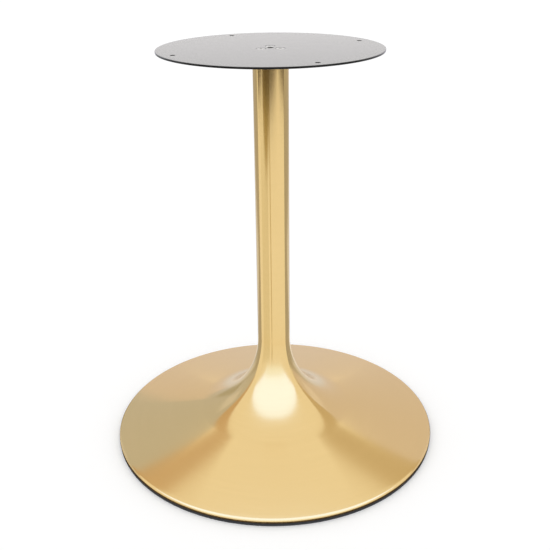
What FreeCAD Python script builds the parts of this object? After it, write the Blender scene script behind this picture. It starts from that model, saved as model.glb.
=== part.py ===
"""Tulip table base: a plate, a straight column and a trumpet foot, clamped together by one tie rod.

The origin is on the floor under the column's axis, with +Z up. Lengths are in millimetres.
"""
import FreeCAD, Part
import math
import os
import re

import Sketcher

# Driving dimensions, in millimetres, and in degrees where the name ends in angle or slope
SIZES = {
    # Whole object
    "overall_height": 725.0,
    "base_diameter": 606.0,
    "column_diameter": 60.3,
    "column_wall": 1.5,
    # Top plate and the holes that take the table top's screws
    "plate_diameter": 375.0,
    "plate_thickness": 3.2,
    "plate_edge_round": 0.5,
    "top_hole_diameter": 9.0,
    "top_hole_margin": 20.5,
    "top_hole_angle": 24.6,
    "top_hole_count": 4,
    "centre_hole_diameter": 11.0,
    # Countersunk screws between plate and column head
    "screw_diameter": 8.0,
    "screw_length": 16.0,
    "screw_head_diameter": 16.7,
    "screw_sink": 0.2,
    "screw_tip_chamfer": 0.8,
    "screw_circle": 36.0,
    "screw_angle": 92.0,
    "screw_count": 3,
    "socket_width": 5.0,
    "socket_depth": 3.0,
    # Disc in the top end of the column
    "head_thickness": 14.0,
    # Sleeve that locates the column in the trumpet's collar
    "spigot_length": 70.0,
    "spigot_insert": 40.0,
    "spigot_wall": 3.0,
    "spigot_chamfer": 1.5,
    # Trumpet shell
    "shell_wall": 1.2,
    "collar_length": 12.0,
    "flare_radius": 147.5,
    "cone_slope": 12.7,
    "rim_round": 5.0,
    "rim_side_height": 2.5,
    # Ring between the shell's rim and the floor
    "ring_foot_height": 6.5,
    "ring_foot_width": 8.4,
    "ring_inset": 0.6,
    "ring_edge_round": 1.0,
    "ring_lip_width": 3.0,
    "ring_lip_gap": 1.0,
    # Dished cast weight under the shell
    "ballast_thickness": 10.0,
    "ballast_edge_gap": 11.0,
    "hub_diameter": 80.0,
    "hub_thickness": 20.0,
    "casting_round": 3.0,
    # Tie rod with its washer and nut
    "rod_diameter": 10.0,
    "rod_recess": 1.0,
    "rod_tail": 5.0,
    "rod_chamfer": 1.0,
    "washer_diameter": 30.0,
    "washer_thickness": 2.5,
    "nut_width": 16.0,
    "nut_height": 8.4,
    "nut_face_diameter": 15.2,
    # Clearances, each measured across one side of its gap
    "thread_clearance": 0.1,
    "bore_clearance": 0.1,
    "rod_clearance": 0.5,
    "countersink_clearance": 0.15,
    "ring_clearance": 0.3,
    "seat_clearance": 0.2,
}

# Formulas that several pieces share
SLOPE = "(cone_slope * 1 deg)"
COLUMN_RADIUS = "(column_diameter / 2)"
BORE_RADIUS = "(column_diameter / 2 - column_wall)"
PLATE_BOTTOM = "(overall_height - plate_thickness)"
RIM_RADIUS = "(base_diameter / 2)"
RIM_SIDE_TOP = "(ring_foot_height + rim_side_height)"
RIM_CENTRE = f"({RIM_RADIUS} - rim_round)"
FLARE_CENTRE = f"({COLUMN_RADIUS} + flare_radius)"
FLARE_RISE = f"(rim_round + flare_radius - ({FLARE_CENTRE} - {RIM_CENTRE}) * sin({SLOPE})) / cos({SLOPE})"
FLARE_TOP = f"({RIM_SIDE_TOP} + {FLARE_RISE})"
SEAM = f"({FLARE_TOP} + collar_length)"
ROD_HOLE = "(rod_diameter / 2 + rod_clearance)"
THREAD_HOLE = "(rod_diameter / 2 + thread_clearance)"
HUB_RADIUS = "(hub_diameter / 2)"
RING_OUTER = f"({RIM_RADIUS} - ring_inset)"
RING_INNER = f"({RING_OUTER} - ring_foot_width)"
BALLAST_RADIUS = f"({RING_INNER} - ballast_edge_gap)"
SCREW_HOLE = "(screw_diameter + 2 * thread_clearance)"
COUNTERSINK = "(screw_head_diameter + 2 * (screw_sink + countersink_clearance))"

# Largest difference between two lengths that count as equal
TOLERANCE = 1e-3

# Sketcher's numbers for the points of a line or an arc, and for the two axes and the origin
START, END, CENTRE = range(1, 4)
V_AXIS, H_AXIS = range(-2, 0)
ORIGIN = H_AXIS

doc = FreeCAD.newDocument("tulip_table_base")
sheet = doc.addObject("Spreadsheet::Sheet", "Sizes")
for row, (size_name, size) in enumerate(SIZES.items(), 1):
    sheet.set(f"A{row}", size_name)
    sheet.set(f"B{row}", str(size))
    sheet.setAlias(f"B{row}", size_name)
doc.recompute()


def formula(text):
    """Turn each size's name in the text into a reference to its cell."""
    return re.sub(r"[a-z_]+", lambda word: f"Sizes.{word[0]}" if word[0] in SIZES else word[0], text)


def number(text):
    """The present value of a formula."""
    return float(sheet.evalExpression(formula(text)))


def inner_cone(radius, gap):
    """Height, at a radius, of the line that lies the gap below the shell's inner cone."""
    reach = f"(rim_round - shell_wall - {gap} - ({radius} - {RIM_CENTRE}) * sin({SLOPE}))"
    return f"({RIM_SIDE_TOP} + {reach} / cos({SLOPE}))"


HUB_TOP = inner_cone(HUB_RADIUS, "seat_clearance")
HUB_BOTTOM = f"({HUB_TOP} - hub_thickness)"
NUT_BOTTOM = f"({HUB_BOTTOM} - washer_thickness - nut_height)"
ROD_BOTTOM = f"({NUT_BOTTOM} - rod_tail)"


def new_body(label, height="0", angle="0"):
    """A body that stands at a height and is turned about the vertical axis."""
    body = doc.addObject("PartDesign::Body", label)
    body.Label = label
    body.setExpression("Placement.Base.z", formula(height))
    body.setExpression("Placement.Rotation.Angle", formula(f"{angle} * 1 deg"))
    return body


def origin_feature(body, role):
    return next(feature for feature in body.Origin.OriginFeatures if feature.Role == role)


def new_sketch(body, name, role, offset_x="0", offset_z="0"):
    """A sketch on one of the body's origin planes, moved along its own x axis and its normal."""
    sketch = body.newObject("Sketcher::SketchObject", name)
    sketch.AttachmentSupport = [(origin_feature(body, role), "")]
    sketch.MapMode = "FlatFace"
    sketch.setExpression("AttachmentOffset.Base.x", formula(offset_x))
    sketch.setExpression("AttachmentOffset.Base.z", formula(offset_z))
    return sketch


def bind(sketch, kind, *elements_and_formula):
    """Add a measured constraint whose value follows a formula."""
    *elements, text = elements_and_formula
    index = sketch.addConstraint(Sketcher.Constraint(kind, *elements, number(text)))
    sketch.setExpression(f"Constraints[{index}]", formula(text))


def place(sketch, geometry, point, across, up):
    """Fix a point's two coordinates, each by a formula or, at zero, on the axis."""
    if across == "0":
        sketch.addConstraint(Sketcher.Constraint("PointOnObject", geometry, point, V_AXIS))
    else:
        bind(sketch, "DistanceX", ORIGIN, START, geometry, point, across)
    if up == "0":
        sketch.addConstraint(Sketcher.Constraint("PointOnObject", geometry, point, H_AXIS))
    else:
        bind(sketch, "DistanceY", ORIGIN, START, geometry, point, up)


def chain(sketch, points):
    """Closed run of lines through the points."""
    following = points[1:] + points[:1]
    lines = [sketch.addGeometry(Part.LineSegment(*pair)) for pair in zip(points, following)]
    for line, after in zip(lines, lines[1:] + lines[:1]):
        sketch.addConstraint(Sketcher.Constraint("Coincident", line, END, after, START))
    return lines


def polygon(sketch, corners):
    """Closed outline with one pair of formulas for each corner."""
    points = [FreeCAD.Vector(number(across), number(up)) for across, up in corners]
    for line, (across, up) in zip(chain(sketch, points), corners):
        place(sketch, line, START, across, up)


def circle(sketch, diameter, across="0", up="0"):
    """Circle with a formula for its diameter and each of its centre's coordinates."""
    middle = FreeCAD.Vector(number(across), number(up))
    ring = Part.Circle(middle, FreeCAD.Vector(0, 0, 1), number(diameter) / 2)
    index = sketch.addGeometry(ring)
    place(sketch, index, CENTRE, across, up)
    bind(sketch, "Diameter", index, diameter)
    return index


def hexagon(sketch, width, across="0"):
    """Regular hexagon, measured across its flats, with two corners on the sketch's x axis."""
    corner_circle = f"({width} / cos(30 deg))"
    guide = circle(sketch, corner_circle, across)
    sketch.setConstruction(guide, True)
    arm = FreeCAD.Vector(number(corner_circle) / 2, 0)
    middle = FreeCAD.Vector(number(across), 0)
    turns = [FreeCAD.Rotation(FreeCAD.Vector(0, 0, 1), 60 * corner) for corner in range(6)]
    lines = chain(sketch, [middle + turn.multVec(arm) for turn in turns])
    for line in lines:
        sketch.addConstraint(Sketcher.Constraint("PointOnObject", line, START, guide))
    for line in lines[1:]:
        sketch.addConstraint(Sketcher.Constraint("Equal", lines[0], line))
    sketch.addConstraint(Sketcher.Constraint("PointOnObject", lines[0], START, H_AXIS))


def revolve(body, sketch, kind="Revolution"):
    """Revolution or Groove: the sketch turned once round its own vertical axis."""
    turned = body.newObject(f"PartDesign::{kind}", f"{sketch.Name}_{kind.lower()}")
    turned.Profile = sketch
    turned.ReferenceAxis = (sketch, ["V_Axis"])
    turned.Angle = 360
    return turned


def turned_piece(label, corners, height="0"):
    """Body turned from one polygon."""
    body = new_body(label, height)
    outline = new_sketch(body, f"{label}_outline", "XZ_Plane")
    polygon(outline, corners)
    revolve(body, outline)
    return body


def extrude(body, sketch, kind, depth):
    """Pad or Pocket of a sketch."""
    feature = body.newObject(f"PartDesign::{kind}", f"{sketch.Name}_{kind.lower()}")
    feature.Profile = sketch
    feature.setExpression("Length", formula(depth))
    return feature


def drill(body, sketch, diameter, countersink=None):
    """Through hole at each circle of a sketch, with a right-angled countersink if one is asked for."""
    doc.recompute()
    hole = body.newObject("PartDesign::Hole", f"{sketch.Name}_hole")
    hole.Profile = sketch
    hole.DepthType = "ThroughAll"
    hole.setExpression("Diameter", formula(diameter))
    if countersink:
        hole.HoleCutType = "Countersink"
        hole.HoleCutCustomValues = True
        hole.HoleCutCountersinkAngle = 90
        hole.setExpression("HoleCutDiameter", formula(countersink))
    return hole


def repeat_round(body, features, count):
    """Repeat features evenly about the vertical axis."""
    pattern = body.newObject("PartDesign::PolarPattern", f"{features[0].Name}_pattern")
    pattern.Originals = features
    pattern.Axis = (origin_feature(body, "Z_Axis"), [""])
    pattern.Angle = 360
    pattern.setExpression("Occurrences", formula(count))
    body.Tip = pattern
    return pattern


def round_circles(body, base, radius, wanted):
    """Fillet the full circular edges that the test accepts."""
    doc.recompute()
    names = []
    for index, edge in enumerate(base.Shape.Edges, 1):
        if isinstance(edge.Curve, Part.Circle) and edge.isClosed() and wanted(edge.Curve):
            names.append(f"Edge{index}")
    rounded = body.newObject("PartDesign::Fillet", f"{base.Name}_round")
    rounded.Base = (base, names)
    rounded.setExpression("Radius", formula(radius))
    return rounded


def at_angle(radius, angle):
    """Formulas for the point at a radius and an angle about the axis."""
    return f"{radius} * cos({angle} * 1 deg)", f"{radius} * sin({angle} * 1 deg)"


def make_top_plate():
    """Round plate: holes for the table top, countersinks over the column and a centre hole."""
    body = new_body("top_plate", PLATE_BOTTOM)
    disc = new_sketch(body, "plate_disc", "XY_Plane")
    circle(disc, "plate_diameter")
    pad = extrude(body, disc, "Pad", "plate_thickness")
    edge_radius = number("plate_diameter") / 2
    round_circles(body, pad, "plate_edge_round", lambda edge: abs(edge.Radius - edge_radius) < TOLERANCE)
    centre = new_sketch(body, "plate_centre", "XY_Plane", offset_z="plate_thickness")
    circle(centre, "centre_hole_diameter")
    drill(body, centre, "centre_hole_diameter")
    rim = new_sketch(body, "plate_rim", "XY_Plane", offset_z="plate_thickness")
    circle(rim, "top_hole_diameter", *at_angle("(plate_diameter / 2 - top_hole_margin)", "top_hole_angle"))
    repeat_round(body, [drill(body, rim, "top_hole_diameter")], "top_hole_count")
    seat = new_sketch(body, "plate_seat", "XY_Plane", offset_z="plate_thickness")
    circle(seat, SCREW_HOLE, *at_angle("(screw_circle / 2)", "screw_angle"))
    repeat_round(body, [drill(body, seat, SCREW_HOLE, COUNTERSINK)], "screw_count")
    return body


def make_plate_screws():
    """Countersunk screws with hexagon sockets, their heads just below the plate's top face."""
    body = new_body("plate_screws", "overall_height", "screw_angle")
    body.AllowCompound = True
    shank = "(screw_diameter / 2)"
    head = "(screw_head_diameter / 2)"
    outline = new_sketch(body, "screw_outline", "XZ_Plane", offset_x="screw_circle / 2")
    polygon(outline, [
        ("0", "-screw_sink"),
        (head, "-screw_sink"),
        (shank, f"-(screw_sink + {head} - {shank})"),
        (shank, "-(screw_length - screw_tip_chamfer)"),
        (f"{shank} - screw_tip_chamfer", "-screw_length"),
        ("0", "-screw_length"),
    ])
    turned = revolve(body, outline)
    socket = new_sketch(body, "screw_socket", "XY_Plane", offset_z="-screw_sink")
    hexagon(socket, "socket_width", "screw_circle / 2")
    pocket = extrude(body, socket, "Pocket", "socket_depth")
    repeat_round(body, [turned, pocket], "screw_count")
    return body


def make_column_head():
    """Disc in the column's top end, tapped for the screws and the tie rod."""
    radius = f"({BORE_RADIUS} - bore_clearance)"
    body = turned_piece("column_head", [
        (THREAD_HOLE, "0"),
        (radius, "0"),
        (radius, "head_thickness"),
        (THREAD_HOLE, "head_thickness"),
    ], f"{PLATE_BOTTOM} - head_thickness")
    tapped = new_sketch(body, "head_tapped", "XY_Plane", offset_z="head_thickness")
    circle(tapped, SCREW_HOLE, *at_angle("(screw_circle / 2)", "screw_angle"))
    countersink = f"max({COUNTERSINK} - 2 * plate_thickness; {SCREW_HOLE} + 2 * thread_clearance)"
    repeat_round(body, [drill(body, tapped, SCREW_HOLE, countersink)], "screw_count")
    return body


def make_column_tube():
    """Plain tube between the trumpet's collar and the plate."""
    length = f"({PLATE_BOTTOM} - {SEAM})"
    return turned_piece("column_tube", [
        (BORE_RADIUS, "0"),
        (COLUMN_RADIUS, "0"),
        (COLUMN_RADIUS, length),
        (BORE_RADIUS, length),
    ], SEAM)


def make_neck_spigot():
    """Sleeve fixed in the column's bottom end, with a chamfered nose in the trumpet's collar."""
    outer = f"(min({BORE_RADIUS}; {COLUMN_RADIUS} - shell_wall) - bore_clearance)"
    inner = f"({outer} - spigot_wall)"
    return turned_piece("neck_spigot", [
        (inner, "0"),
        (f"{outer} - spigot_chamfer", "0"),
        (outer, "spigot_chamfer"),
        (outer, "spigot_length"),
        (inner, "spigot_length"),
    ], f"{SEAM} + spigot_insert - spigot_length")


def trumpet_skin(sketch, inset):
    """One skin of the shell, inset from the outer one: collar, flare arc, cone, rim arc and rim side.

    Returns the collar's and the side's line. The arcs of both skins share their centres.
    """
    slope = math.radians(SIZES["cone_slope"])
    normal = FreeCAD.Vector(math.sin(slope), math.cos(slope))
    collar_radius = f"({COLUMN_RADIUS} - {inset})"
    flare_radius = f"(flare_radius + {inset})"
    rim_round = f"(rim_round - {inset})"
    side_radius = f"({RIM_RADIUS} - {inset})"
    flare_circle = Part.Circle()
    flare_circle.Center = FreeCAD.Vector(number(FLARE_CENTRE), number(FLARE_TOP))
    flare_circle.Radius = number(flare_radius)
    rim_circle = Part.Circle()
    rim_circle.Center = FreeCAD.Vector(number(RIM_CENTRE), number(RIM_SIDE_TOP))
    rim_circle.Radius = number(rim_round)
    collar_top = FreeCAD.Vector(number(collar_radius), number(SEAM))
    collar_bottom = FreeCAD.Vector(number(collar_radius), number(FLARE_TOP))
    cone_top = flare_circle.Center - normal * flare_circle.Radius
    cone_bottom = rim_circle.Center + normal * rim_circle.Radius
    side_top = FreeCAD.Vector(number(side_radius), number(RIM_SIDE_TOP))
    side_bottom = FreeCAD.Vector(number(side_radius), number("ring_foot_height"))

    collar = sketch.addGeometry(Part.LineSegment(collar_top, collar_bottom))
    flare = sketch.addGeometry(Part.ArcOfCircle(flare_circle, math.pi, 1.5 * math.pi - slope))
    cone = sketch.addGeometry(Part.LineSegment(cone_top, cone_bottom))
    rim = sketch.addGeometry(Part.ArcOfCircle(rim_circle, 0, 0.5 * math.pi - slope))
    side = sketch.addGeometry(Part.LineSegment(side_top, side_bottom))

    for line in (collar, side):
        sketch.addConstraint(Sketcher.Constraint("Vertical", line))
    for joint in ((collar, END, flare, START), (flare, END, cone, START), (cone, END, rim, END),
                  (rim, START, side, START)):
        sketch.addConstraint(Sketcher.Constraint("Tangent", *joint))
    place(sketch, collar, START, collar_radius, SEAM)
    place(sketch, side, END, side_radius, "ring_foot_height")
    bind(sketch, "DistanceY", ORIGIN, START, side, START, RIM_SIDE_TOP)
    bind(sketch, "Radius", flare, flare_radius)
    bind(sketch, "Radius", rim, rim_round)
    leaning = sketch.addConstraint(Sketcher.Constraint("Angle", cone, -slope))
    sketch.setExpression(f"Constraints[{leaning}]", formula(f"-{SLOPE}"))
    return collar, side


def make_trumpet_base():
    """Spun shell: collar, flare, cone and rolled rim, open below."""
    body = new_body("trumpet_base")
    outline = new_sketch(body, "trumpet_outline", "XZ_Plane")
    outer_collar, outer_side = trumpet_skin(outline, "0")
    inner_collar, inner_side = trumpet_skin(outline, "shell_wall")
    for first, second, point in ((outer_collar, inner_collar, START), (outer_side, inner_side, END)):
        ends = [outline.getPoint(first, point), outline.getPoint(second, point)]
        edge = outline.addGeometry(Part.LineSegment(*ends))
        outline.addConstraint(Sketcher.Constraint("Coincident", edge, START, first, point))
        outline.addConstraint(Sketcher.Constraint("Coincident", edge, END, second, point))
    revolve(body, outline)
    return body


def make_floor_ring():
    """Foot under the shell's edge, with a lip that lies inside the rim."""
    lip_outer = f"({RIM_RADIUS} - shell_wall - ring_clearance)"
    lip_inner = f"({lip_outer} - ring_lip_width)"
    lip_top = f"({RIM_SIDE_TOP} - ring_lip_gap)"
    body = turned_piece("floor_ring", [
        (RING_INNER, "0"),
        (RING_OUTER, "0"),
        (RING_OUTER, "ring_foot_height"),
        (lip_outer, "ring_foot_height"),
        (lip_outer, lip_top),
        (lip_inner, lip_top),
        (lip_inner, "ring_foot_height"),
        (RING_INNER, "ring_foot_height"),
    ])
    round_circles(body, body.Tip, "ring_edge_round", lambda edge: abs(edge.Center.z) < TOLERANCE)
    return body


def make_ballast():
    """Cast dish that bears on the inside of the shell's cone, with a hub for the tie rod."""
    edge_top = inner_cone(BALLAST_RADIUS, "seat_clearance")
    body = turned_piece("ballast", [
        (ROD_HOLE, HUB_BOTTOM),
        (HUB_RADIUS, HUB_BOTTOM),
        (HUB_RADIUS, f"{HUB_TOP} - ballast_thickness"),
        (BALLAST_RADIUS, f"{edge_top} - ballast_thickness"),
        (BALLAST_RADIUS, edge_top),
        (HUB_RADIUS, HUB_TOP),
        (ROD_HOLE, HUB_TOP),
    ])
    smallest = number(HUB_RADIUS) - TOLERANCE
    round_circles(body, body.Tip, "casting_round", lambda edge: edge.Radius > smallest)
    return body


def make_tie_rod():
    """Threaded rod, drawn at its outer diameter, from the column head to below the nut."""
    radius = "(rod_diameter / 2)"
    length = f"({PLATE_BOTTOM} - rod_recess - {ROD_BOTTOM})"
    return turned_piece("tie_rod", [
        ("0", "0"),
        (f"{radius} - rod_chamfer", "0"),
        (radius, "rod_chamfer"),
        (radius, f"{length} - rod_chamfer"),
        (f"{radius} - rod_chamfer", length),
        ("0", length),
    ], ROD_BOTTOM)


def make_rod_washer():
    """Flat washer under the hub."""
    return turned_piece("rod_washer", [
        (ROD_HOLE, "0"),
        ("washer_diameter / 2", "0"),
        ("washer_diameter / 2", "washer_thickness"),
        (ROD_HOLE, "washer_thickness"),
    ], f"{HUB_BOTTOM} - washer_thickness")


def make_rod_nut():
    """Hexagon nut with both faces chamfered."""
    body = new_body("rod_nut", NUT_BOTTOM)
    flats = new_sketch(body, "nut_flats", "XY_Plane")
    hexagon(flats, "nut_width")
    extrude(body, flats, "Pad", "nut_height")
    bore = new_sketch(body, "nut_bore", "XY_Plane", offset_z="nut_height")
    circle(bore, f"2 * {THREAD_HOLE}")
    drill(body, bore, f"2 * {THREAD_HOLE}")
    face = "(nut_face_diameter / 2)"
    beyond_corner = "(nut_width / 2 / cos(30 deg) + thread_clearance)"
    drop = f"(({beyond_corner} - {face}) * tan(30 deg))"
    chamfer = new_sketch(body, "nut_chamfer", "XZ_Plane")
    polygon(chamfer, [(face, "0"), (beyond_corner, "0"), (beyond_corner, drop)])
    polygon(chamfer, [
        (face, "nut_height"),
        (beyond_corner, f"nut_height - {drop}"),
        (beyond_corner, "nut_height"),
    ])
    revolve(body, chamfer, "Groove")
    return body


def check(bodies):
    """Stop if any feature failed or any piece has no valid shape."""
    failed = [item.Name for item in doc.Objects if {"Invalid", "Error"} & set(item.State)]
    empty = [body.Label for body in bodies if body.Shape.isNull() or not body.Shape.isValid()]
    if failed or empty:
        raise RuntimeError(f"failed features {failed}, pieces with no valid shape {empty}")


pieces = [
    make_top_plate(),
    make_plate_screws(),
    make_column_head(),
    make_column_tube(),
    make_neck_spigot(),
    make_trumpet_base(),
    make_floor_ring(),
    make_ballast(),
    make_tie_rod(),
    make_rod_washer(),
    make_rod_nut(),
]
doc.recompute()
check(pieces)
os.makedirs("parts", exist_ok=True)
for piece in pieces:
    piece.Shape.exportStep(f"parts/{piece.Label}.step")
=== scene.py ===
"""Looks of the tulip table base: brushed gold trumpet and column, black plate and ring."""
import math

import bmesh
import bpy
from mathutils import Matrix, Vector


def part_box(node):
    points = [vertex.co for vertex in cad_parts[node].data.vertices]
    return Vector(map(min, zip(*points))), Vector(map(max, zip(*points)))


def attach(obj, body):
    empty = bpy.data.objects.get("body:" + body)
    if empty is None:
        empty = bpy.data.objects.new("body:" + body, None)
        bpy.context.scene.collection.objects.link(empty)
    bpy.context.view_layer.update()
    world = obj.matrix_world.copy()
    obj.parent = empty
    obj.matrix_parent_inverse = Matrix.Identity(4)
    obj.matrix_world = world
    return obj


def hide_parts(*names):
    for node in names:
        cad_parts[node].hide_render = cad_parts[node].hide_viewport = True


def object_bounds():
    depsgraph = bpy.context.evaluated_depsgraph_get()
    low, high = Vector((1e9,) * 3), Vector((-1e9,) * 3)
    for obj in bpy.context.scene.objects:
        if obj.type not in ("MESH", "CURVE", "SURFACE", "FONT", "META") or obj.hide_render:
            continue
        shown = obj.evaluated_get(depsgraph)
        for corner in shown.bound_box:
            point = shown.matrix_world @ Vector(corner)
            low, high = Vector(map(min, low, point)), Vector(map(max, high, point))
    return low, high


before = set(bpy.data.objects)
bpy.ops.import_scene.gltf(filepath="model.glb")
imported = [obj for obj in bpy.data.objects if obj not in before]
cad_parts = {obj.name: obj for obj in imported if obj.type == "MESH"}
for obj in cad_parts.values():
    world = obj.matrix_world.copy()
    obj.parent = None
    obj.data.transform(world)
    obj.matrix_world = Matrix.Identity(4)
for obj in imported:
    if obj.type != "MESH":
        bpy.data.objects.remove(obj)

cad_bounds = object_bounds()
scene = bpy.context.scene
scene.view_settings.view_transform = "Standard"

# Camera, fitted to the outlines of rim, plate and column
CAMERA_PLACE = (0.0034, -1.3746, 0.9241)
CAMERA_TILT = math.radians(66.273)
CAMERA_ROLL = math.radians(-0.633)
CAMERA_LENS_MM = 53.734
CAMERA_CLIP_START = 0.01
SENSOR_WIDTH_MM = 36.0

# Sizes that the frame's boxes don't give, in metres and radians
SHELL_WALL = 0.0012
COLUMN_WALL = 0.0015
FLARE_RADIUS = 0.1475
CONE_SLOPE = math.radians(12.7)
RIM_ROUND = 0.005
COLLAR_LENGTH = 0.012
PLATE_EDGE_ROUND = 0.0005
PLATE_EDGE_BAND = 0.003
TOP_HOLE_COUNT = 4
TOP_HOLE_RADIUS = 0.0045
TOP_HOLE_CIRCLE = 0.167
TOP_HOLE_ANGLE = math.radians(24.6)
CENTRE_HOLE_RADIUS = 0.0055
COUNTERSINK_RADIUS = 0.0087
SCREW_COUNT = 3
SCREW_CIRCLE = 0.018
SCREW_ANGLE = math.radians(92)
SCREW_HEAD_RADIUS = 0.00835
SCREW_HEAD_LAND = 0.001
SCREW_SHANK_RADIUS = 0.004
SCREW_TIP_CHAMFER = 0.0008
SOCKET_SIDES = 6
SOCKET_FLATS = 0.005
SOCKET_RADIUS = SOCKET_FLATS / math.sqrt(3)
SOCKET_DEPTH = 0.003
RING_FOOT_HEIGHT = 0.0065
RING_FOOT_WIDTH = 0.0084
RING_LIP_GAP = 0.0003
RING_LIP_WIDTH = 0.003
RING_EDGE_ROUND = 0.001
HUB_RADIUS = 0.04
HUB_THICKNESS = 0.02
BALLAST_THICKNESS = 0.01
CASTING_ROUND = 0.003
ROD_HOLE_RADIUS = 0.0055
ROD_THREAD_PITCH = 0.0015
ROD_THREAD_DEPTH = 0.0009
ROD_THREAD_LENGTH = 0.03
WASHER_EDGE_ROUND = 0.0004

# How finely round shapes are cut, and which edges stay sharp
TURN_STEPS = 240
BALLAST_TURN_STEPS = 160
SMALL_TURN_STEPS = 64
COLLAR_STEPS = 4
FLARE_STEPS = 56
CONE_STEPS = 24
RIM_STEPS = 10
RIM_WALL_STEPS = 3
HOLE_STEPS = 40
PLATE_EDGE_STEPS = 4
RING_EDGE_STEPS = 5
CASTING_ROUND_STEPS = 6
WASHER_EDGE_STEPS = 3
MERGE_DISTANCE = 1e-6
SHARP_ANGLE = math.radians(35)
THREAD_SHARP_ANGLE = math.radians(25)

# Range of the noise that a material's roughness follows
NOISE_LOW = 0.3
NOISE_HIGH = 0.7

# Studio: heights and places of its cards in metres, the spots they face, and shared colours
STUDIO_REACH = 30
STUDIO_TURN_STEPS = 96
FLOOR_DROP = 0.0003
FLOOR_COLOUR = (0.9, 0.9, 0.9, 1)
FLOOR_GLOW = 0.15
SHEET_HEIGHT = 0.002
OVER_SHEET_HEIGHT = 0.003
RIM_SHADE_HEIGHT = 0.004
RIM_SHADE_RADII = [0.3, 0.314]
BROAD_STREAK_HEIGHT = 0.4
BOX_HEIGHT = 0.42
FAR_SIDE_HEIGHT = 0.45
FAR_FRONT_START = 0.31
FAR_FRONT_RISE = 0.13
GAP_HEIGHT = 2
WALL_PLACE = 3.5
WALL_CARD_PLACE = 3.47
BACK_PANEL_PLACE = 3.4
FOOT_MIDDLE = (0, 0, 0.1)
COLUMN_TOP = (0, 0, 0.7)
GREY = (0.5, 0.5, 0.5)
DARK_BROWN = (0.06, 0.04, 0.015)


def make_camera():
    data = bpy.data.cameras.new("camera")
    data.sensor_width = SENSOR_WIDTH_MM
    data.lens = CAMERA_LENS_MM
    data.clip_start = CAMERA_CLIP_START
    camera = bpy.data.objects.new("camera", data)
    place = Matrix.Translation(CAMERA_PLACE)
    tilt = Matrix.Rotation(CAMERA_TILT, 4, "X")
    roll = Matrix.Rotation(CAMERA_ROLL, 4, "Z")
    camera.matrix_world = place @ tilt @ roll
    scene.collection.objects.link(camera)
    scene.camera = camera


# Drawing and turning profiles

def draw_line(bm, vert, radius, height, steps=1):
    """Straight run of edges from vert to (radius, height)."""
    start = vert.co.copy()
    end = Vector((radius, 0, height))
    for step in range(steps):
        vert = bmesh.ops.extrude_vert_indiv(bm, verts=[vert])["verts"][0]
        vert.co = start.lerp(end, (step + 1) / steps)
    return vert


def draw_arc(bm, vert, centre, turn, steps):
    """Arc of edges from vert about a (radius, height) centre; a positive turn is clockwise."""
    made = bmesh.ops.spin(
        bm, geom=[vert], cent=(centre[0], 0, centre[1]), axis=(0, 1, 0), angle=turn, steps=steps)
    return next(item for item in made["geom_last"] if isinstance(item, bmesh.types.BMVert))


def draw_closed(bm, corners):
    """Closed run of edges through (radius, height) corners."""
    verts = [bm.verts.new((radius, 0, height)) for radius, height in corners]
    for first, second in zip(verts, verts[1:] + verts[:1]):
        bm.edges.new((first, second))
    return verts


def round_corners(bm, corners, size, steps):
    """Rounding of a profile's corners."""
    bmesh.ops.bevel(
        bm, geom=corners, offset=size, segments=steps, profile=0.5, affect="VERTICES", material=-1)


def turn_round(bm, steps=TURN_STEPS):
    """Spin everything once about the vertical axis."""
    bmesh.ops.spin(
        bm, geom=bm.verts[:] + bm.edges[:], cent=(0, 0, 0), axis=(0, 0, 1),
        angle=2 * math.pi, steps=steps, use_merge=True)


def draw_ring(bm, radius, height, centre=(0, 0), steps=HOLE_STEPS, turn=0):
    """Level circle of edges."""
    place = Matrix.Translation((centre[0], centre[1], height)) @ Matrix.Rotation(turn, 4, "Z")
    verts = bmesh.ops.create_circle(bm, segments=steps, radius=radius, matrix=place)["verts"]
    return list({edge for vert in verts for edge in vert.link_edges})


def join_rings(bm, *rings):
    """Walls from each ring of edges to the next."""
    for first, second in zip(rings, rings[1:]):
        bmesh.ops.bridge_loops(bm, edges=first + second)


def fill_level(bm, edges, up=1):
    """Level face inside the outermost ring, left open inside the others."""
    bmesh.ops.triangle_fill(bm, edges=edges, use_beauty=True, normal=(0, 0, up))


def round_about(radius, angle, count):
    """Centres of holes spread evenly on a circle."""
    turns = [angle + 2 * math.pi * index / count for index in range(count)]
    return [(radius * math.cos(turn), radius * math.sin(turn)) for turn in turns]


def finish_piece(bm, name, node, material, sharp_angle=SHARP_ANGLE):
    """Turn the bmesh into a piece that stands for a node."""
    bmesh.ops.remove_doubles(bm, verts=bm.verts, dist=MERGE_DISTANCE)
    bmesh.ops.recalc_face_normals(bm, faces=bm.faces)
    mesh = bpy.data.meshes.new(name)
    bm.to_mesh(mesh)
    bm.free()
    mesh.shade_smooth()
    mesh.set_sharp_from_angle(angle=sharp_angle)
    mesh.materials.append(material)
    piece = bpy.data.objects.new(name, mesh)
    scene.collection.objects.link(piece)
    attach(piece, "root")
    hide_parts(node)
    return piece


# Pieces

def make_column(gold):
    """Plain tube."""
    low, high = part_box("column_tube")
    outer = high.x
    inner = outer - COLUMN_WALL
    bm = bmesh.new()
    draw_closed(bm, [(inner, low.z), (outer, low.z), (outer, high.z), (inner, high.z)])
    turn_round(bm)
    return finish_piece(bm, "column", "column_tube", gold)


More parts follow.
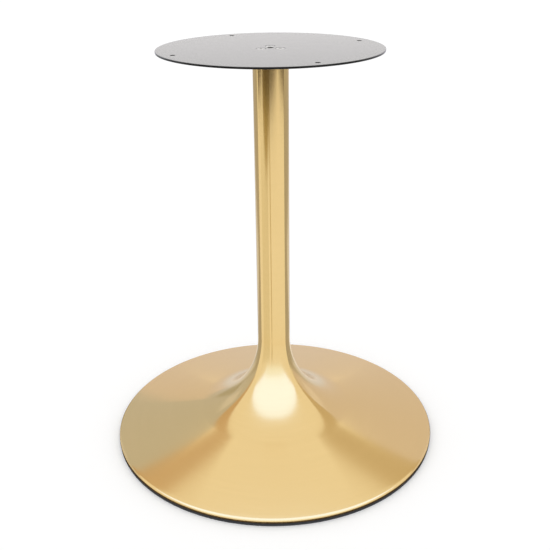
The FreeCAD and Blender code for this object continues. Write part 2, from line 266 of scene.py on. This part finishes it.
def make_trumpet(gold):
    """Spun shell of collar, flare, cone and rolled rim, drawn down outside and back up inside."""
    low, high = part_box("trumpet_base")
    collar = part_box("column_tube")[1].x
    rim = cad_bounds[1].x
    bend = math.pi / 2 - CONE_SLOPE
    flare = (collar + FLARE_RADIUS, high.z - COLLAR_LENGTH)
    away = Vector((math.sin(CONE_SLOPE), math.cos(CONE_SLOPE)))
    # The rim's arc touches the cone that leaves the flare
    run = rim - RIM_ROUND - flare[0]
    drop = (RIM_ROUND + FLARE_RADIUS + run * math.sin(CONE_SLOPE)) / math.cos(CONE_SLOPE)
    rolled = (rim - RIM_ROUND, flare[1] - drop)
    cone_end = Vector(rolled) + away * RIM_ROUND
    inner_cone_start = Vector(flare) - away * (FLARE_RADIUS + SHELL_WALL)

    bm = bmesh.new()
    first = bm.verts.new((collar, 0, high.z))
    vert = draw_line(bm, first, collar, flare[1], COLLAR_STEPS)
    vert = draw_arc(bm, vert, flare, -bend, FLARE_STEPS)
    vert = draw_line(bm, vert, *cone_end, CONE_STEPS)
    vert = draw_arc(bm, vert, rolled, bend, RIM_STEPS)
    vert = draw_line(bm, vert, rim, low.z, RIM_WALL_STEPS)
    vert = draw_line(bm, vert, rim - SHELL_WALL, low.z)
    vert = draw_line(bm, vert, rim - SHELL_WALL, rolled[1], RIM_WALL_STEPS)
    vert = draw_arc(bm, vert, rolled, -bend, RIM_STEPS)
    vert = draw_line(bm, vert, *inner_cone_start, CONE_STEPS)
    vert = draw_arc(bm, vert, flare, bend, FLARE_STEPS)
    vert = draw_line(bm, vert, collar - SHELL_WALL, high.z, COLLAR_STEPS)
    bm.edges.new((vert, first))
    turn_round(bm)
    return finish_piece(bm, "trumpet", "trumpet_base", gold)


def make_plate(coat):
    """Round plate with holes for the table top's screws, countersinks and a centre hole."""
    low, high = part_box("top_plate")
    radius = high.x
    thickness = high.z - low.z
    bm = bmesh.new()
    bottom_band = draw_ring(bm, radius - PLATE_EDGE_BAND, low.z, steps=TURN_STEPS)
    bottom_edge = draw_ring(bm, radius, low.z, steps=TURN_STEPS)
    top_edge = draw_ring(bm, radius, high.z, steps=TURN_STEPS)
    top_band = draw_ring(bm, radius - PLATE_EDGE_BAND, high.z, steps=TURN_STEPS)
    join_rings(bm, bottom_band, bottom_edge, top_edge, top_band)
    bmesh.ops.bevel(
        bm, geom=bottom_edge + top_edge, offset=PLATE_EDGE_ROUND, segments=PLATE_EDGE_STEPS,
        profile=0.5, affect="EDGES", material=-1)
    # Each hole's centre, and its radius at the top and at the bottom
    holes = [
        (place, TOP_HOLE_RADIUS, TOP_HOLE_RADIUS)
        for place in round_about(TOP_HOLE_CIRCLE, TOP_HOLE_ANGLE, TOP_HOLE_COUNT)]
    sinks = [
        (place, COUNTERSINK_RADIUS, COUNTERSINK_RADIUS - thickness)
        for place in round_about(SCREW_CIRCLE, SCREW_ANGLE, SCREW_COUNT)]
    centre_hole = ((0, 0), CENTRE_HOLE_RADIUS, CENTRE_HOLE_RADIUS)
    top_edges = top_band
    bottom_edges = bottom_band
    for place, top_radius, bottom_radius in [*holes, *sinks, centre_hole]:
        top_ring = draw_ring(bm, top_radius, high.z, place)
        bottom_ring = draw_ring(bm, bottom_radius, low.z, place)
        join_rings(bm, top_ring, bottom_ring)
        top_edges = top_edges + top_ring
        bottom_edges = bottom_edges + bottom_ring
    fill_level(bm, top_edges)
    fill_level(bm, bottom_edges, -1)
    return finish_piece(bm, "plate", "top_plate", coat)


def make_screws(zinc):
    """Three countersunk screws with hexagon sockets."""
    low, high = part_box("plate_screws")
    head_radius = SCREW_HEAD_RADIUS - SCREW_HEAD_LAND
    shank_top = high.z - (SCREW_HEAD_RADIUS - SCREW_SHANK_RADIUS)
    socket_bottom = high.z - SOCKET_DEPTH
    bm = bmesh.new()
    for place in round_about(SCREW_CIRCLE, SCREW_ANGLE, SCREW_COUNT):
        head = draw_ring(bm, head_radius, high.z, place)
        edge = draw_ring(bm, head_radius, high.z - SCREW_HEAD_LAND, place)
        neck = draw_ring(bm, SCREW_SHANK_RADIUS, shank_top, place)
        tip = draw_ring(bm, SCREW_SHANK_RADIUS, low.z + SCREW_TIP_CHAMFER, place)
        end = draw_ring(bm, SCREW_SHANK_RADIUS - SCREW_TIP_CHAMFER, low.z, place)
        turn = math.atan2(place[1], place[0])
        socket_top = draw_ring(bm, SOCKET_RADIUS, high.z, place, SOCKET_SIDES, turn)
        socket_floor = draw_ring(bm, SOCKET_RADIUS, socket_bottom, place, SOCKET_SIDES, turn)
        join_rings(bm, head, edge, neck, tip, end)
        join_rings(bm, socket_top, socket_floor)
        fill_level(bm, head + socket_top)
        fill_level(bm, socket_floor)
        fill_level(bm, end, -1)
    return finish_piece(bm, "screws", "plate_screws", zinc)


def make_floor_ring(rubber):
    """Foot with rounded lower edges and a lip that lies inside the rim."""
    low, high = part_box("floor_ring")
    outer = high.x
    inner = outer - RING_FOOT_WIDTH
    lip_outer = cad_bounds[1].x - SHELL_WALL - RING_LIP_GAP
    lip_inner = lip_outer - RING_LIP_WIDTH
    foot_top = low.z + RING_FOOT_HEIGHT
    round_height = low.z + RING_EDGE_ROUND
    outer_round = (outer - RING_EDGE_ROUND, round_height)
    inner_round = (inner + RING_EDGE_ROUND, round_height)
    bm = bmesh.new()
    first = bm.verts.new((inner + RING_EDGE_ROUND, 0, low.z))
    vert = draw_line(bm, first, outer - RING_EDGE_ROUND, low.z)
    vert = draw_arc(bm, vert, outer_round, -math.pi / 2, RING_EDGE_STEPS)
    for corner in [
            (outer, foot_top), (lip_outer, foot_top), (lip_outer, high.z), (lip_inner, high.z),
            (lip_inner, foot_top), (inner, foot_top), (inner, round_height)]:
        vert = draw_line(bm, vert, *corner)
    draw_arc(bm, vert, inner_round, -math.pi / 2, RING_EDGE_STEPS)
    turn_round(bm)
    return finish_piece(bm, "foot_ring", "floor_ring", rubber)


def make_ballast(iron):
    """Cast dish with a hub, all outer corners rounded."""
    low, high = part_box("ballast")
    edge = high.x
    edge_top = low.z + BALLAST_THICKNESS
    bm = bmesh.new()
    corners = draw_closed(bm, [
        (ROD_HOLE_RADIUS, high.z - HUB_THICKNESS),
        (HUB_RADIUS, high.z - HUB_THICKNESS),
        (HUB_RADIUS, high.z - BALLAST_THICKNESS),
        (edge, low.z),
        (edge, edge_top),
        (HUB_RADIUS, high.z),
        (ROD_HOLE_RADIUS, high.z),
    ])
    round_corners(bm, corners[1:6], CASTING_ROUND, CASTING_ROUND_STEPS)
    turn_round(bm, BALLAST_TURN_STEPS)
    return finish_piece(bm, "weight", "ballast", iron)


def make_washer(zinc):
    """Flat washer with rounded edges."""
    low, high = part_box("rod_washer")
    bm = bmesh.new()
    corners = draw_closed(bm, [
        (ROD_HOLE_RADIUS, low.z), (high.x, low.z), (high.x, high.z), (ROD_HOLE_RADIUS, high.z)])
    round_corners(bm, corners, WASHER_EDGE_ROUND, WASHER_EDGE_STEPS)
    turn_round(bm, SMALL_TURN_STEPS)
    return finish_piece(bm, "washer", "rod_washer", zinc)


def make_rod(zinc):
    """Tie rod, its thread cut as grooves at the end that shows under the nut."""
    low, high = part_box("tie_rod")
    radius = high.x
    core = radius - ROD_THREAD_DEPTH
    bm = bmesh.new()
    vert = bm.verts.new((0, 0, low.z))
    vert = draw_line(bm, vert, core, low.z)
    for groove in range(round(ROD_THREAD_LENGTH / ROD_THREAD_PITCH)):
        height = low.z + groove * ROD_THREAD_PITCH
        vert = draw_line(bm, vert, radius, height + ROD_THREAD_PITCH / 2)
        vert = draw_line(bm, vert, core, height + ROD_THREAD_PITCH)
    vert = draw_line(bm, vert, radius, vert.co.z + ROD_THREAD_PITCH / 2)
    vert = draw_line(bm, vert, radius, high.z - ROD_THREAD_DEPTH)
    vert = draw_line(bm, vert, core, high.z)
    draw_line(bm, vert, 0, high.z)
    turn_round(bm, SMALL_TURN_STEPS)
    return finish_piece(bm, "rod", "tie_rod", zinc, THREAD_SHARP_ANGLE)


# Materials

def add_node(tree, kind, links=(), values=(), **settings):
    """Shader node with its settings, its linked inputs and its plain inputs."""
    node = tree.nodes.new(kind)
    for name, value in settings.items():
        setattr(node, name, value)
    for socket, value in values:
        node.inputs[socket].default_value = value
    for socket, source in links:
        tree.links.new(source, node.inputs[socket])
    return node


def new_material(name):
    """Material with its node tree and its shader."""
    material = bpy.data.materials.new(name)
    material.use_nodes = True
    tree = material.node_tree
    return material, tree, tree.nodes["Principled BSDF"]


def math_node(tree, operation, first, second):
    """Sum, product or such of two sources or numbers."""
    node = tree.nodes.new("ShaderNodeMath")
    node.operation = operation
    for socket, source in zip(node.inputs, (first, second)):
        if isinstance(source, (int, float)):
            socket.default_value = source
        else:
            tree.links.new(source, socket)
    return node.outputs["Value"]


def ring_noise(tree, lines_per_metre, drift, detail):
    """Noise in rings about the axis: quick across them, slow along them, and with no seam."""
    place = add_node(tree, "ShaderNodeTexCoord")
    split = add_node(tree, "ShaderNodeSeparateXYZ", [(0, place.outputs["Object"])])
    x, y, z = split.outputs
    x_square = math_node(tree, "MULTIPLY", x, x)
    y_square = math_node(tree, "MULTIPLY", y, y)
    from_axis = math_node(tree, "SQRT", math_node(tree, "ADD", x_square, y_square), 0)
    # Kept off zero, because it divides
    radius = math_node(tree, "MAXIMUM", from_axis, 1e-4)
    cosine = math_node(tree, "MULTIPLY", math_node(tree, "DIVIDE", x, radius), drift)
    sine = math_node(tree, "MULTIPLY", math_node(tree, "DIVIDE", y, radius), drift)
    joined = add_node(tree, "ShaderNodeCombineXYZ", [
        (0, math_node(tree, "MULTIPLY", radius, lines_per_metre)),
        (1, math_node(tree, "MULTIPLY", z, lines_per_metre)),
        (2, cosine)])
    noise = add_node(
        tree, "ShaderNodeTexNoise", [("Vector", joined.outputs[0]), ("W", sine)],
        [("Scale", 1.0), ("Detail", detail)], noise_dimensions="4D")
    return noise.outputs["Fac"]


def spot_noise(tree, scale, detail):
    """Even noise in the piece's own place."""
    place = add_node(tree, "ShaderNodeTexCoord")
    noise = add_node(
        tree, "ShaderNodeTexNoise", [("Vector", place.outputs["Object"])],
        [("Scale", scale), ("Detail", detail)])
    return noise.outputs["Fac"]


def vary_colour(tree, shader, source, dark, light):
    """Base colour that goes from dark to light with the noise."""
    node = add_node(tree, "ShaderNodeMix", [(0, source)], data_type="RGBA")
    node.inputs[6].default_value = (*dark, 1)
    node.inputs[7].default_value = (*light, 1)
    tree.links.new(node.outputs[2], shader.inputs["Base Color"])


def vary_roughness(tree, shader, source, low, high):
    """Roughness that goes from low to high with the noise."""
    node = add_node(
        tree, "ShaderNodeMapRange", [("Value", source)],
        [("From Min", NOISE_LOW), ("From Max", NOISE_HIGH), ("To Min", low), ("To Max", high)])
    tree.links.new(node.outputs["Result"], shader.inputs["Roughness"])


def add_bump(tree, shader, height, strength, distance):
    """Fine relief that follows the noise."""
    bump = add_node(
        tree, "ShaderNodeBump", [("Height", height)],
        [("Strength", strength), ("Distance", distance)])
    tree.links.new(bump.outputs["Normal"], shader.inputs["Normal"])


def make_brushed_gold():
    """Gold-coated steel, brushed round the axis."""
    material, tree, shader = new_material("brushed_gold")
    fine = ring_noise(tree, lines_per_metre=1600, drift=3.0, detail=3)
    broad = ring_noise(tree, lines_per_metre=220, drift=1.5, detail=2)
    vary_colour(tree, shader, broad, dark=(0.815, 0.588, 0.262), light=(0.845, 0.612, 0.28))
    vary_roughness(tree, shader, fine, low=0.11, high=0.14)
    shader.inputs["Metallic"].default_value = 1.0
    shader.inputs["Anisotropic"].default_value = 1.0
    shader.inputs["Anisotropic Rotation"].default_value = 0.25
    add_bump(tree, shader, fine, strength=0.01, distance=0.0004)
    tangent = add_node(tree, "ShaderNodeTangent", direction_type="RADIAL", axis="Z")
    tree.links.new(tangent.outputs["Tangent"], shader.inputs["Tangent"])
    return material


def make_powder_coat():
    """Satin black powder coat with its fine orange peel."""
    material, tree, shader = new_material("black_powder_coat")
    peel = spot_noise(tree, scale=900, detail=2)
    cloud = spot_noise(tree, scale=18, detail=3)
    vary_colour(tree, shader, cloud, dark=(0.006, 0.006, 0.0065), light=(0.013, 0.013, 0.0135))
    vary_roughness(tree, shader, peel, low=0.28, high=0.4)
    shader.inputs["IOR"].default_value = 1.25
    shader.inputs["Coat Weight"].default_value = 1.0
    shader.inputs["Coat IOR"].default_value = 1.25
    shader.inputs["Coat Roughness"].default_value = 0.1
    add_bump(tree, shader, peel, strength=0.12, distance=0.0002)
    return material


def make_zinc():
    """Bright zinc plate with faint cloudy passivation."""
    material, tree, shader = new_material("zinc_plated_steel")
    cloud = spot_noise(tree, scale=160, detail=4)
    grain = spot_noise(tree, scale=1400, detail=2)
    vary_colour(tree, shader, cloud, dark=(0.50, 0.50, 0.485), light=(0.72, 0.72, 0.70))
    vary_roughness(tree, shader, cloud, low=0.22, high=0.4)
    shader.inputs["Metallic"].default_value = 1.0
    add_bump(tree, shader, grain, strength=0.08, distance=0.0001)
    return material


def make_turned_steel():
    """Bare steel with turning marks."""
    material, tree, shader = new_material("turned_steel")
    marks = ring_noise(tree, lines_per_metre=2500, drift=0.6, detail=2)
    vary_colour(tree, shader, marks, dark=(0.34, 0.34, 0.35), light=(0.50, 0.50, 0.51))
    vary_roughness(tree, shader, marks, low=0.3, high=0.45)
    shader.inputs["Metallic"].default_value = 1.0
    add_bump(tree, shader, marks, strength=0.15, distance=0.0002)
    return material


def make_cast_iron():
    """Sand-cast iron under thin black paint."""
    material, tree, shader = new_material("cast_iron")
    sand = spot_noise(tree, scale=520, detail=5)
    cloud = spot_noise(tree, scale=22, detail=4)
    vary_colour(tree, shader, cloud, dark=(0.045, 0.045, 0.048), light=(0.085, 0.083, 0.082))
    vary_roughness(tree, shader, sand, low=0.55, high=0.8)
    add_bump(tree, shader, sand, strength=0.6, distance=0.0008)
    return material


def make_rubber():
    """Matt black rubber, dusty in places."""
    material, tree, shader = new_material("black_rubber")
    dust = spot_noise(tree, scale=60, detail=4)
    grain = spot_noise(tree, scale=700, detail=2)
    vary_colour(tree, shader, dust, dark=(0.012, 0.012, 0.012), light=(0.022, 0.021, 0.02))
    vary_roughness(tree, shader, dust, low=0.7, high=0.9)
    add_bump(tree, shader, grain, strength=0.2, distance=0.0002)
    return material


# Studio

def make_world():
    """Even white light all round, which is also what the camera and the metal see."""
    world = bpy.data.worlds.new("studio")
    scene.world = world
    world.use_nodes = True
    background = world.node_tree.nodes["Background"]
    background.inputs["Color"].default_value = (1, 1, 1, 1)
    background.inputs["Strength"].default_value = 1.0


def clear_from_behind(tree, front):
    """Show a shader on the front of its faces and leave their backs clear."""
    clear = add_node(tree, "ShaderNodeBsdfTransparent")
    side = add_node(tree, "ShaderNodeNewGeometry")
    mix = add_node(
        tree, "ShaderNodeMixShader",
        [(0, side.outputs["Backfacing"]), (1, front.outputs[0]), (2, clear.outputs[0])])
    tree.links.new(mix.outputs[0], tree.nodes["Material Output"].inputs["Surface"])


def make_floor():
    """Pale floor, clear from below, that stays white and keeps the contact shadow."""
    bm = bmesh.new()
    bmesh.ops.create_circle(bm, cap_ends=True, segments=STUDIO_TURN_STEPS, radius=STUDIO_REACH)
    bmesh.ops.translate(bm, verts=bm.verts, vec=(0, 0, -FLOOR_DROP))
    mesh = bpy.data.meshes.new("floor")
    bm.to_mesh(mesh)
    bm.free()
    material, tree, shader = new_material("floor")
    tree.nodes.remove(shader)
    paint = add_node(tree, "ShaderNodeBsdfDiffuse", values=[("Color", FLOOR_COLOUR)])
    glow = add_node(tree, "ShaderNodeEmission", values=[("Strength", FLOOR_GLOW)])
    both = add_node(tree, "ShaderNodeAddShader", [(0, paint.outputs[0]), (1, glow.outputs[0])])
    clear_from_behind(tree, both)
    mesh.materials.append(material)
    floor = bpy.data.objects.new("floor", mesh)
    # Left out of bounced light, so that the underside gets the light of the world below it
    floor.visible_diffuse = False
    floor.visible_glossy = False
    scene.collection.objects.link(floor)


def stand(corners, distance):
    """Corners of an upright card behind the object."""
    return [(x, distance, z) for x, z in corners]


def level(corners, height=SHEET_HEIGHT):
    """Corners of a level card, which lies on the floor unless a height is given."""
    return [(x, y, height) for x, y in corners]


def rise(corners):
    """Corners of a card in front of the object that rises away from it."""
    return [(x, y, FAR_FRONT_START - FAR_FRONT_RISE * y) for x, y in corners]


def light_card(name, bm, colour, strength=1.0):
    """Glowing studio card that only the reflections show."""
    mesh = bpy.data.meshes.new(name)
    bm.to_mesh(mesh)
    bm.free()
    material, tree, shader = new_material(name)
    tree.nodes.remove(shader)
    glow_values = [("Color", (*colour, 1)), ("Strength", strength)]
    clear_from_behind(tree, add_node(tree, "ShaderNodeEmission", values=glow_values))
    mesh.materials.append(material)
    card = bpy.data.objects.new(name, mesh)
    card.visible_camera = False
    card.visible_diffuse = False
    card.visible_transmission = False
    card.visible_shadow = False
    scene.collection.objects.link(card)


def make_card(name, corners, colour, strength=1.0, shown_by=FOOT_MIDDLE):
    """Flat card whose front faces the spot of the object that is to show it."""
    bm = bmesh.new()
    bmesh.ops.contextual_create(bm, geom=[bm.verts.new(corner) for corner in corners])
    face = bm.faces[:][0]
    face.normal_update()
    if face.normal.dot(Vector(shown_by) - face.calc_center_median()) < 0:
        face.normal_flip()
    light_card(name, bm, colour, strength)


def make_rim_shade():
    """Painted contact shade: a dark ring on the floor round the foot, which the lower half of the
    rim shows in its reflection.
    """
    bm = bmesh.new()
    for radius in RIM_SHADE_RADII:
        bmesh.ops.create_circle(bm, segments=STUDIO_TURN_STEPS, radius=radius)
    bmesh.ops.bridge_loops(bm, edges=bm.edges)
    bmesh.ops.translate(bm, verts=bm.verts, vec=(0, 0, RIM_SHADE_HEIGHT))
    if bm.faces[:][0].normal.z < 0:
        bmesh.ops.reverse_faces(bm, faces=bm.faces)
    # Colour of the painted contact shade that the rim reflects
    light_card("rim_shade", bm, (0.08, 0.06, 0.04))


def make_front_cards():
    """Low soft box in front of the foot, which fades away from it."""
    box = [
        (-0.77, -0.145), (-0.46, -0.138), (0, -0.178), (0.46, -0.138), (0.77, -0.145),
        (1.2, -0.85), (0, -0.95), (-1.0, -0.8)]
    make_card("front_box", level(box, BOX_HEIGHT), (0.48, 0.61, 1), strength=2.6)
    fade = [(-1.0, -0.8), (0, -0.95), (1.2, -0.85), (3.5, -4), (-3.5, -4)]
    make_card("front_fade", level(fade, BOX_HEIGHT), (0.68, 0.79, 1), strength=1.65)


def make_back_cards():
    """Walls behind the object with paler and darker fields, and a dark gap over each wall."""
    right_gap = [(0.6, 1.2), (1.3, 1.12), (STUDIO_REACH, 1.12), (STUDIO_REACH, 1.8), (0.6, 1.8)]
    make_card("right_gap", level(right_gap, GAP_HEIGHT), (0.68, 0.6, 0.47))
    left_gap = [
        (-0.6, 1.2), (-1.2, 1.03), (-STUDIO_REACH, 1.0), (-STUDIO_REACH, 1.65), (-0.6, 1.65)]
    make_card("left_gap", level(left_gap, GAP_HEIGHT), (0.69, 0.55, 0.42))
    right_wall = [
        (-1.55, 0), (-1.55, 1.6), (-0.4, 2.4), (1.2, 2.4), (2.2, 4.2), (STUDIO_REACH, 4.2),
        (STUDIO_REACH, 0)]
    make_card("right_wall", stand(right_wall, WALL_PLACE), (0.78, 0.745, 0.82))
    left_wall = [
        (-1.55, 0), (-1.55, 1.6), (-0.4, 2.4), (-1.2, 2.8), (-2.2, 4.6), (-STUDIO_REACH, 4.6),
        (-STUDIO_REACH, 0)]
    make_card("left_wall", stand(left_wall, WALL_PLACE), (0.63, 0.665, 0.76))
    left_dark = [(-1.9, 0), (-3.4, 0), (-3.4, 1.1), (-1.9, 1.1)]
    make_card("left_dark", stand(left_dark, WALL_CARD_PLACE), (0.5, 0.51, 0.48))
    left_pale = [(-3.2, 1.5), (-5.5, 1.5), (-5.5, 3.3), (-3.2, 3.3)]
    make_card("left_pale", stand(left_pale, WALL_CARD_PLACE), (0.76, 0.8, 0.95))
    right_pale = [(3.9, 0.9), (6.3, 0.9), (6.3, 3.7), (3.9, 3.7)]
    make_card("right_pale", stand(right_pale, WALL_CARD_PLACE), (0.87, 0.86, 1.0))
    back_panel = [(-0.85, 1), (0.85, 1), (0.85, 2), (-0.85, 2)]
    make_card("back_panel", stand(back_panel, BACK_PANEL_PLACE), (1, 0.98, 0.97), strength=1.2)


def make_side_sheets():
    """Grey sheets on the floor, which the column's two edges show."""
    make_card("right_sheet", level([(0.1, 0), (9, -0.3), (9, 9), (5, 9)]), GREY)
    make_card("left_sheet", level([(-0.1, 0), (-9, 1.2), (-9, 9), (-2.9, 9)]), GREY)


def make_dark_cards():
    """Dark cards above the foot, clear from below, so that the upper column alone shows them."""
    for side in [-1, 1]:
        reach = STUDIO_REACH * side
        far_side = [(reach, 0), (1.03 * side, 0), (1.23 * side, -1.27), (reach, -STUDIO_REACH)]
        make_card("far_side", level(far_side, FAR_SIDE_HEIGHT), DARK_BROWN, shown_by=COLUMN_TOP)
    far_front = [
        (-1.1, -0.75), (0, -0.99), (1.23, -1.27), (STUDIO_REACH, -STUDIO_REACH),
        (-STUDIO_REACH, -STUDIO_REACH)]
    make_card("far_front", rise(far_front), DARK_BROWN, shown_by=COLUMN_TOP)
    streak = [(-0.273, -0.372), (-0.98, -0.66), (-1.69, -1.93), (-0.16, -1.14)]
    make_card(
        "broad_streak", level(streak, BROAD_STREAK_HEIGHT), (0.5, 0.42, 0.22),
        shown_by=COLUMN_TOP)


def make_pale_sheets():
    """Paler sheets on the floor: two streaks in the column, and the pale spots beside the neck."""
    faint_streak = [(-0.14, -0.27), (-0.29, -0.08), (-2.2, -0.6), (-1.05, -2.05)]
    make_card("faint_streak", level(faint_streak), (0.87, 0.86, 0.8))
    thin_streak = [(-0.07, -0.41), (-0.12, -0.4), (-0.66, -2.3), (-0.42, -2.36)]
    make_card("thin_streak", level(thin_streak, OVER_SHEET_HEIGHT), (0.72, 0.66, 0.52))
    back_sheet = [(-0.9, 0.35), (0.9, 0.35), (1.6, 3.4), (-1.6, 3.4)]
    make_card("back_sheet", level(back_sheet, OVER_SHEET_HEIGHT), (0.78, 0.82, 0.95))


make_camera()
gold = make_brushed_gold()
zinc = make_zinc()
steel = make_turned_steel()
make_trumpet(gold)
upper_pieces = [
    make_column(gold), make_plate(make_powder_coat()), make_screws(zinc), make_rod(zinc),
    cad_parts["column_head"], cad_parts["neck_spigot"]]
make_floor_ring(make_rubber())
make_ballast(make_cast_iron())
make_washer(zinc)
for node, material in [("rod_nut", zinc), ("column_head", steel), ("neck_spigot", steel)]:
    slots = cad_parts[node].data.materials
    slots.clear()
    slots.append(material)
# The foot's reflections leave out what stands on it, as the photo does
for piece in upper_pieces:
    piece.visible_glossy = False
make_world()
make_floor()
make_front_cards()
make_back_cards()
make_side_sheets()
make_dark_cards()
make_pale_sheets()
make_rim_shade()
